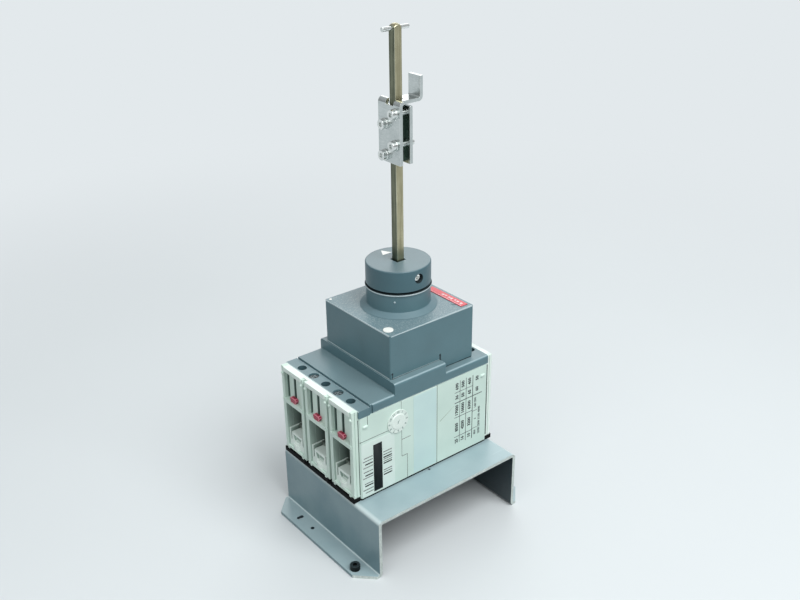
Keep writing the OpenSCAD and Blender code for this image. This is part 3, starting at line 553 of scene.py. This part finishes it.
# Painted highlight: a pink finish for the markers' rounded edges.
red_highlight = moulded_plastic("Pink nylon, painted edge highlight", "#d77f8f", "#c96d7e", 0.6, 0.01, 0.3)
row_middle, pole_pitch = 13 * mm, 30 * mm
shelf_top = case_low.z + 46.5 * mm
shelf_foot = shelf_top - 3.2 * mm
pocket_half, pocket_mouth = 10.3 * mm, 64.9 * mm
vent_half, vent_mouth = 10.6 * mm, 62.4 * mm
inside_case, inside_blocks = 59.5 * mm, 62.0 * mm
vent_back, row_half = 55 * mm, 42 * mm


def across_pole(place):
    """How far a point is from the middle plane of its pole."""
    return min(abs(place.y - row_middle - pole * pole_pitch) for pole in (-1, 0, 1))


def in_pocket(centre, normal):
    """The walls of a pocket, under the shelf."""
    inside = across_pole(centre) < pocket_half and abs(centre.x) < pocket_mouth
    return inside and centre.z < shelf_foot and abs(normal.z) < 0.9


def in_vent(centre, normal):
    """The walls of a vent's slots, over the shelf and behind the vent's face."""
    inside = across_pole(centre) < vent_half and abs(centre.x) < vent_mouth
    return inside and centre.z > shelf_top and abs(normal.z) < 0.9


def on_long_side(centre, normal):
    """The outer wall of the row of poles, on either long side."""
    return abs(normal.y) > 0.9 and abs(centre.y - row_middle) > row_half


tinned_copper = worked_metal("Tinned copper", "#c4c8c2", "#8c918b", 0.34)
for end in ("line", "load"):
    for pole in ("left", "centre", "right"):
        pole_frame = dress(f"{end}_frame_{pole}", 0.3 * mm, frame_nylon, edge=nylon_highlight)
        refinish(pole_frame, pocket_shade_nylon, in_pocket)
        refinish(pole_frame, vent_shade_nylon, in_vent)
        # Painted highlight: the long outer sides of the outer load frames are white.
        if end == "load" and pole != "centre":
            refinish(pole_frame, block_nylon_and_highlight, on_long_side)
    dress(f"{end}_lip", 0.35 * mm, white_nylon)
    dress(f"{end}_pole_markers", 0.55 * mm, red_nylon, edge=red_highlight)
    blocks = dress(f"{end}_terminal_blocks", 0.3 * mm, block_nylon_and_highlight, edge=nylon_highlight)
    # Painted shade: the hollows of the blocks take the darker nylon of the pockets.
    refinish(blocks, pocket_shade_nylon, lambda centre, normal: abs(centre.x) < inside_blocks
             and abs(normal.x) > 0.5 or abs(normal.y) > 0.9)
    dress(f"{end}_terminal_tongues", 0.2 * mm, tinned_copper)
# Painted shade: the pockets and vents in the case ends take the darker nylon too.
for case_end in case_ends:
    refinish(case_end, pocket_shade_nylon, lambda centre, normal: in_pocket(centre, normal)
             and abs(centre.x) < inside_case)
    refinish(case_end, vent_shade_nylon, lambda centre, normal: in_vent(centre, normal)
             and vent_back < abs(centre.x) < inside_case + 0.1 * mm)


# Covers: dark grey ABS mouldings with a fine spark-eroded grain. The front cover spans the case,
# and a narrow one closes the line terminals. Their paler rounded edges and a pale band along the
# front cover's near fillets are painted highlights. The dull darker grey in the six deep wells
# over the terminal screws is painted shade.
dark_abs = moulded_plastic("Dark grey ABS", "#55757d", "#506e76", 0.7, 0.03, 0.42, 0.12)
pale_grey_abs = moulded_plastic("Pale grey ABS for painted highlights", "#b3c3c6", "#a5b6ba", 1.0, 0.01, 0.28)
shade_black_abs = moulded_plastic("Black ABS, painted shade", "#202c2f", "#28363a", 0.8, 0.02, 0.6, ior=1.4)
well_shade_abs = moulded_plastic("Dark grey ABS, painted well shade", "#3a565d", "#425e65", 0.8, 0.02, 0.6, ior=1.4)
well_x, well_reach = 55.5 * mm, 3.6 * mm


def in_well(centre, normal):
    """The walls of a screwdriver's well, from the shelf up."""
    reach = math.hypot(abs(centre.x) - well_x, across_pole(centre))
    return reach < well_reach and centre.z > shelf_top and abs(normal.z) < 0.5


# Painted highlight: the covers' long rounded edges take a pale grey.
front_cover = dress("front_cover", 0.2 * mm, dark_abs, edge=pale_grey_abs, crest=1.0 * mm)
strip_cover = dress("line_terminal_cover", 0.2 * mm, dark_abs, edge=pale_grey_abs, crest=0.5 * mm)
fillet_highlight_abs = moulded_plastic("Pale ABS, painted fillet highlight", "#8aa2a8", "#7f979d", 0.7, 0.02, 0.36)
refinish(front_cover, dark_abs, lambda centre, normal: normal.x < -0.1 or normal.z > 0.97)
# Painted highlight: a pale band along the front cover's near fillets.
refinish(front_cover, fillet_highlight_abs, lambda centre, normal: abs(normal.x) < 0.1
         and 0.7 < normal.z < 0.97)
# Painted shade: the walls of the deep wells are a darker grey.
for piece in (front_cover, strip_cover, *case_ends):
    refinish(piece, well_shade_abs, in_well)
cover_fixing = moulded_plastic("Dark grey nylon", "#2c383b", "#374447", 0.8, 0.02, 0.4)
dress("cover_screws", 0.2 * mm, cover_fixing, edge=pale_grey_abs)


# Date disc: a white polycarbonate dial snapped into the near side of the case. The months stand
# round its rim in small grey figures, and a raised centre carries the pointer.
disc_low, disc_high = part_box("date_disc")
disc_x, disc_z = (disc_low.x + disc_high.x) / 2, (disc_low.z + disc_high.z) / 2
disc_white = moulded_plastic("White polycarbonate", "#dce9e3", "#d3e1da", 0.8, 0.01, 0.32)
dial_white = moulded_plastic("Polished white polycarbonate", "#e0ece6", "#d7e5de", 0.8, 0.01, 0.28)
month_ink = moulded_plastic("Pale grey pad print", "#849a94", "#9aaea8", 0.8, 0.01, 0.5)
dress("date_disc", 0.2 * mm, disc_white)
dial = bmesh.new()
bmesh.ops.create_cone(
    dial, segments=48, radius1=6.1 * mm, radius2=5.7 * mm, depth=0.5 * mm, cap_ends=True,
    matrix=Matrix.Translation((disc_x, disc_low.y - 0.2 * mm, disc_z))
    @ Matrix.Rotation(math.pi / 2, 4, "X"))
soften(make_piece("date_disc_centre", dial, "breaker", "white_disc", dial_white), 0.1 * mm)
months = bmesh.new()
month_ring = 7.65 * mm
for month in range(1, 13):
    swing = math.radians(90 - 30 * month)
    outward = Vector((math.cos(swing), 0.0, math.sin(swing)))
    spot = Vector((disc_x, 0.0, disc_z)) + outward * month_ring
    turn = on_label_side(spot.x / mm, spot.z / mm, outward)
    turn.translation.y = disc_low.y - 0.02 * mm
    add_number(months, str(month), 1.7 * mm, turn)
pointer_turn = on_label_side(disc_x / mm, disc_z / mm, (0.5, 0.0, 0.866))
pointer_turn.translation.y = disc_low.y - 0.46 * mm
bmesh.ops.create_cone(
    months, segments=3, radius1=1.6 * mm, radius2=1.6 * mm, depth=0.05 * mm, cap_ends=True,
    matrix=pointer_turn @ Matrix.Diagonal((0.45, 1.6, 1.0, 1.0))
    @ Matrix.Rotation(math.pi / 2, 4, "Z"))
make_piece("date_disc_print", months, "breaker", "white_disc", month_ink)


# Mechanism box: the housing of the rotary mechanism, a deep ABS moulding clipped on to the front
# cover. The black on its lower, downward faces is painted shade, and its paler rounded edges a
# painted highlight. Its walls have the fine grain, and its top a coarse one with a smooth ring
# for the collar.
box_low, box_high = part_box("mechanism_box")
shaft_low, shaft_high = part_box("operating_shaft")
axis_x, axis_y = (shaft_low.x + shaft_high.x) / 2, (shaft_low.y + shaft_high.y) / 2
smooth_ring = 28.5 * mm
coarse_abs = moulded_plastic("Coarse grained ABS", "#54747d", "#4f6d76", 0.9, 0.12, 0.42, 0.08,
                             0.28, (axis_x, axis_y, smooth_ring))
box = dress("mechanism_box", 0.2 * mm, dark_abs, edge=pale_grey_abs, crest=0.8 * mm)
refinish(box, coarse_abs, lambda centre, normal: normal.z > 0.95)
# Painted shade: the box's lower, downward faces are black.
refinish(box, shade_black_abs, lambda centre, normal: centre.z < box_high.z - 10 * mm
         and normal.z < -0.2)


# Snap slots of the box: two narrow slots in the near wall, over the edge of the cover's step, where
# it clips on, each ending in a round tool hole. Thin black blocks on the wall paint the shade in
# them.
slots = bmesh.new()
slot_half, slot_foot, slot_head = 0.3 * mm, 131.9 * mm, 135.6 * mm
for slot_x in (box_low.x + 1.9 * mm, 18.5 * mm):
    add_block(slots, (slot_x - slot_half, box_low.y - 0.05 * mm, slot_foot),
              (slot_x + slot_half, box_low.y + 0.2 * mm, slot_head))
    bmesh.ops.create_cone(
        slots, segments=16, radius1=0.8 * mm, radius2=0.8 * mm, depth=0.3 * mm, cap_ends=True,
        matrix=Matrix.Translation((slot_x - 0.2 * mm, box_low.y + 0.1 * mm,
                                   slot_head + 0.5 * mm))
        @ Matrix.Rotation(math.pi / 2, 4, "X"))
make_piece("box_snap_slots", slots, "breaker", "dark_box", shade_black_abs)


# Top of the box: a red film strip by the collar with a pale stripe and a row of plain dashes, and
# two white plugs pressed into the corners over the fixing screws.
red_film = moulded_plastic("Red printed film", "#cc3a46", "#c0333f", 0.8, 0.01, 0.34)
pale_film = moulded_plastic("Pale printed film", "#f0cfd0", "#e7c1c3", 0.8, 0.01, 0.34)
dress("red_label_bar", 0.1 * mm, red_film)
strip_low, strip_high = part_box("red_label_bar")
dashes = bmesh.new()
add_block(dashes, (strip_low.x + 0.5 * mm, strip_low.y + 1.0 * mm, strip_high.z - 0.05 * mm),
          (strip_low.x + 0.9 * mm, strip_high.y - 1.0 * mm, strip_high.z + 0.04 * mm))
for i in range(7):
    start = strip_low.y + (2.6 + 3.3 * i + 0.5 * (i % 2)) * mm
    add_block(dashes, (strip_low.x + (2.0 + 0.4 * (i % 3)) * mm, start, strip_high.z - 0.05 * mm),
              (strip_low.x + 4.4 * mm, start + 2.3 * mm, strip_high.z + 0.04 * mm))
make_piece("red_strip_print", dashes, "breaker", "red_label", pale_film)
white_cap = moulded_plastic("White polypropylene", "#e9ece8", "#e1e5e0", 0.8, 0.01, 0.34)
dress("corner_caps", 0.25 * mm, white_cap)


# Collar and knob: turned-looking ABS mouldings round the shaft. The collar is screwed to the box,
# its foot grained like the top, and the knob turns on it. A white triangle is let into the top of
# the knob and a set screw into its side. The pale rim of the collar is a painted highlight, and the
# black on the collar's top, under the knob and in the set screw's hole is painted shade.
knob_low, knob_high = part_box("knob")
collar_low, collar_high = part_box("collar")
knob_abs = moulded_plastic("Darker grey ABS", "#42626b", "#3e5c65", 0.7, 0.03, 0.4, 0.12)
collar = dress("collar", 0.4 * mm, dark_abs)
cone_h, rim_h, collar_reach = 2.8 * mm, 1.3 * mm, 23.6 * mm
set_screw_z, set_hole_reach = 193.0 * mm, 3.7 * mm
refinish(collar, coarse_abs, lambda centre, normal: centre.z < collar_low.z + cone_h
         and 0.5 < normal.z < 0.98)
# Painted highlight: the collar's rim is pale.
refinish(collar, pale_grey_abs, lambda centre, normal: centre.z > collar_high.z - rim_h
         and math.hypot(centre.x - axis_x, centre.y - axis_y) > collar_reach)
# Painted shade: the collar's top face is black.
refinish(collar, shade_black_abs, lambda centre, normal: centre.z > collar_high.z - 0.2 * mm
         and normal.z > 0.5)
knob = dress("knob", 0.3 * mm, knob_abs)
# Painted shade: the knob's underside and the wall of its set screw's hole are black.
refinish(knob, shade_black_abs, lambda centre, normal: centre.z < knob_low.z + 16 * mm
         and normal.z < -0.5 or centre.y < axis_y - 12 * mm and abs(normal.y) < 0.2
         and math.hypot(centre.x - axis_x, centre.z - set_screw_z) < set_hole_reach)
zinc_steel = worked_metal("Bright zinc plated steel", "#eef0ee", "#c6ccca", 0.16, stain=0.4)
dress("set_screw", 0.15 * mm, zinc_steel)
pointer = bmesh.new()
bmesh.ops.create_circle(pointer, segments=3, radius=1.0, cap_ends=True)
for corner, (x, y) in zip(pointer.verts, ((0.2, 20.0), (-4.0, 12.6), (4.2, 12.6))):
    corner.co = (x * mm + axis_x, y * mm + axis_y, knob_high.z - 0.05 * mm)
raised = bmesh.ops.extrude_face_region(pointer, geom=pointer.faces[:])
bmesh.ops.translate(pointer, verts=[v for v in raised["geom"] if isinstance(v, bmesh.types.BMVert)],
                    vec=(0.0, 0.0, 0.15 * mm))
bmesh.ops.recalc_face_normals(pointer, faces=pointer.faces)
soften(make_piece("knob_pointer", pointer, "shaft", "white_cap", white_cap), 0.05 * mm)
dot = bmesh.new()
swing, dot_reach, dot_level = math.radians(-135), 23.5 * mm, collar_low.z + 11.0 * mm
bmesh.ops.create_cone(
    dot, segments=20, radius1=0.8 * mm, radius2=0.6 * mm, depth=0.5 * mm, cap_ends=True,
    matrix=Matrix.Translation((axis_x + dot_reach * math.cos(swing),
                               axis_y + dot_reach * math.sin(swing), dot_level))
    @ Matrix.Rotation(swing, 4, "Z") @ Matrix.Rotation(math.pi / 2, 4, "Y"))
soften(make_piece("collar_index_dot", dot, "breaker", "dark_knob", pale_grey_abs), 0.1 * mm)


# Operating shaft: a 6 mm square bar of drawn steel, zinc plated with a yellow-olive passivation,
# with a bright cross pin pressed through its free end. Its two darker sides and its length between
# the clamp plates are painted shade, and its paler edges a painted highlight.
drawn_bar = worked_metal(
    "Yellow passivated drawn steel", "#b9b497", "#948e72", 0.3, (700.0, 700.0, 30.0), 0.25, 0.01)
bar_side_shade = worked_metal(
    "Drawn steel, painted side shade", "#7c7f6c", "#565b4c", 0.34, (700.0, 700.0, 30.0), 0.25, 0.01)
# Painted highlight: the bar's rounded edges are pale.
bar_highlight = worked_metal("Pale drawn steel, painted edge highlight", "#e3e4cf", "#cfd0ba", 0.25, (700.0, 700.0, 30.0))
bar = dress("operating_shaft", 0.35 * mm, drawn_bar, edge=bar_highlight)
clamp_low, clamp_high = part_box("clamp_rear_plate")
# The bar is cut at the levels of the clamp plates, so that its length between them can take painted
# shade.
form = bmesh.new()
form.from_mesh(bar.data)
for level in (clamp_low.z, clamp_high.z):
    bmesh.ops.bisect_plane(form, geom=form.verts[:] + form.edges[:] + form.faces[:],
                           plane_co=(0.0, 0.0, level), plane_no=(0.0, 0.0, 1.0))
form.to_mesh(bar.data)
form.free()
bar_clamp_shade = worked_metal("Drawn steel, painted shade between the plates", "#4b6055", "#31423a", 0.45, (700.0, 700.0, 30.0))
# Painted shade: the bar's two faces that look along X are darker.
refinish(bar, bar_side_shade, lambda centre, normal: abs(normal.x) > 0.9)
# Painted shade: the bar is dark between the clamp plates.
refinish(bar, bar_clamp_shade, lambda centre, normal: clamp_low.z < centre.z < clamp_high.z)
dress("cross_pin", 0.3 * mm, zinc_steel)


# Clamp: two bright zinc plated steel plates pulled together on the shaft by four socket head
# screws. The front plate is folded into a hook at its top.
zinc_sheet = worked_metal(
    "Bright zinc plated sheet", "#c9cfce", "#b9c0bf", 0.2, (400.0, 400.0, 1500.0), 0.5, 0.003)
# Painted highlight: the plates' rounded edges are near white.
zinc_highlight = worked_metal("Bright zinc, painted edge highlight", "#f1f3f0", "#dfe3e0", 0.2)
for node in ("clamp_front_plate", "clamp_rear_plate"):
    dress(node, 0.25 * mm, zinc_sheet, edge=zinc_highlight)
for i in range(1, 5):
    dress(f"clamp_screw_{i}", 0.2 * mm, zinc_steel)


# Studio: a plain pale floor. What the camera and a reflection see of it is paler than what it
# throws back on the object, so that the undersides stay dark.
floor_material, tree, place = start_material("Pale studio floor")
mottle = add_node(tree, "ShaderNodeTexNoise", {"Vector": place, "Scale": 3.0})
rays = add_node(tree, "ShaderNodeLightPath")
seen = add_node(tree, "ShaderNodeMath", {
    0: rays.outputs["Is Camera Ray"], 1: rays.outputs["Is Glossy Ray"]}, operation="MAXIMUM")
seen = add_node(tree, "ShaderNodeMath", {
    0: seen, 1: rays.outputs["Is Transmission Ray"]}, operation="MAXIMUM")
pale = add_node(tree, "ShaderNodeMix", {
    "Factor": mottle, "A": linear("#c9cfd1"), "B": linear("#c4cacc")}, data_type="RGBA")
floor_tone = add_node(tree, "ShaderNodeMix", {
    "Factor": seen, "A": linear("#8f9496"), "B": pale}, data_type="RGBA")
away = add_node(tree, "ShaderNodeVectorMath", {0: place}, operation="LENGTH")
far = add_node(tree, "ShaderNodeMapRange", {
    "Value": away.outputs["Value"], "From Min": 0.3, "From Max": 1.0},
    interpolation_type="SMOOTHSTEP")
backdrop = add_node(tree, "ShaderNodeMath", {0: far, 1: seen}, operation="MULTIPLY")
paint = add_node(tree, "ShaderNodeBsdfPrincipled", {"Base Color": floor_tone, "Roughness": 0.7})
glow = add_node(tree, "ShaderNodeEmission", {"Color": linear("#e3e9ec"), "Strength": 1.0})
surface = add_node(tree, "ShaderNodeMixShader", {0: backdrop, 1: paint, 2: glow})
add_node(tree, "ShaderNodeOutputMaterial", {"Surface": surface})
form = bmesh.new()
bmesh.ops.create_grid(form, x_segments=1, y_segments=1, size=6.0)
mesh = bpy.data.meshes.new("studio_floor")
form.to_mesh(mesh)
form.free()
mesh.materials.append(floor_material)
floor = bpy.data.objects.new("studio_floor", mesh)
bpy.context.collection.objects.link(floor)


# Light: an even sky, weaker than it looks, a large key lamp over the label side, a soft box behind
# for the sheen on what faces up, and a weak fill on the terminal side.
sky = bpy.data.worlds.new("Studio sky")
bpy.context.scene.world = sky
sky.use_nodes = True
tree = sky.node_tree
tree.nodes.clear()
rays = add_node(tree, "ShaderNodeLightPath")
seen = add_node(tree, "ShaderNodeMath", {
    0: rays.outputs["Is Camera Ray"], 1: rays.outputs["Is Transmission Ray"]}, operation="MAXIMUM")
upward = add_node(tree, "ShaderNodeSeparateXYZ", {
    "Vector": add_node(tree, "ShaderNodeTexCoord").outputs["Generated"]})
lit = add_node(tree, "ShaderNodeMapRange", {
    "Value": upward.outputs["Z"], "To Min": 0.08, "To Max": 0.75})
mirrored = add_node(tree, "ShaderNodeMapRange", {
    "Value": upward.outputs["Z"], "To Min": 0.35, "To Max": 0.8})
strength = add_node(tree, "ShaderNodeMix", {
    "Factor": rays.outputs["Is Glossy Ray"], "A": lit, "B": mirrored})
strength = add_node(tree, "ShaderNodeMix", {"Factor": seen, "A": strength, "B": 0.9})
dome = add_node(tree, "ShaderNodeBackground", {"Color": linear("#f3f6f8"), "Strength": strength})
add_node(tree, "ShaderNodeOutputWorld", {"Surface": dome})
centre = (cad_box[0] + cad_box[1]) / 2
for name, place, size, power in (
    ("key", (0.2, -1.1, 1.7), 1.3, 37.0),
    ("back", (1.2, 1.2, 1.1), 1.3, 10.0),
    ("fill", (-1.35, -0.55, 1.1), 1.2, 8.0),
):
    lamp = bpy.data.lights.new(name, "AREA")
    lamp.size = size
    lamp.energy = power
    light = bpy.data.objects.new(name, lamp)
    light.location = place
    light.rotation_euler = (centre - Vector(place)).to_track_quat("-Z", "Y").to_euler()
    bpy.context.collection.objects.link(light)


# Camera: a 44 mm lens on a full frame, a little above the box and turned to the terminal corner.
camera_data = bpy.data.cameras.new("camera")
camera_data.sensor_width = 36.0
camera_data.lens = 44.45
camera = bpy.data.objects.new("camera", camera_data)
azimuth, elevation, roll = math.radians(-38.45), math.radians(25.85), math.radians(-0.71)
turn = (Matrix.Rotation(azimuth, 4, "Z") @ Matrix.Rotation(math.pi / 2 - elevation, 4, "X")
        @ Matrix.Rotation(roll, 4, "Z"))
lens_at = (-390.0 * mm, -494.2 * mm, 481.0 * mm)
camera.matrix_world = Matrix.Translation(lens_at) @ turn
bpy.context.collection.objects.link(camera)
bpy.context.scene.camera = camera
bpy.context.scene.view_settings.view_transform = "Standard"
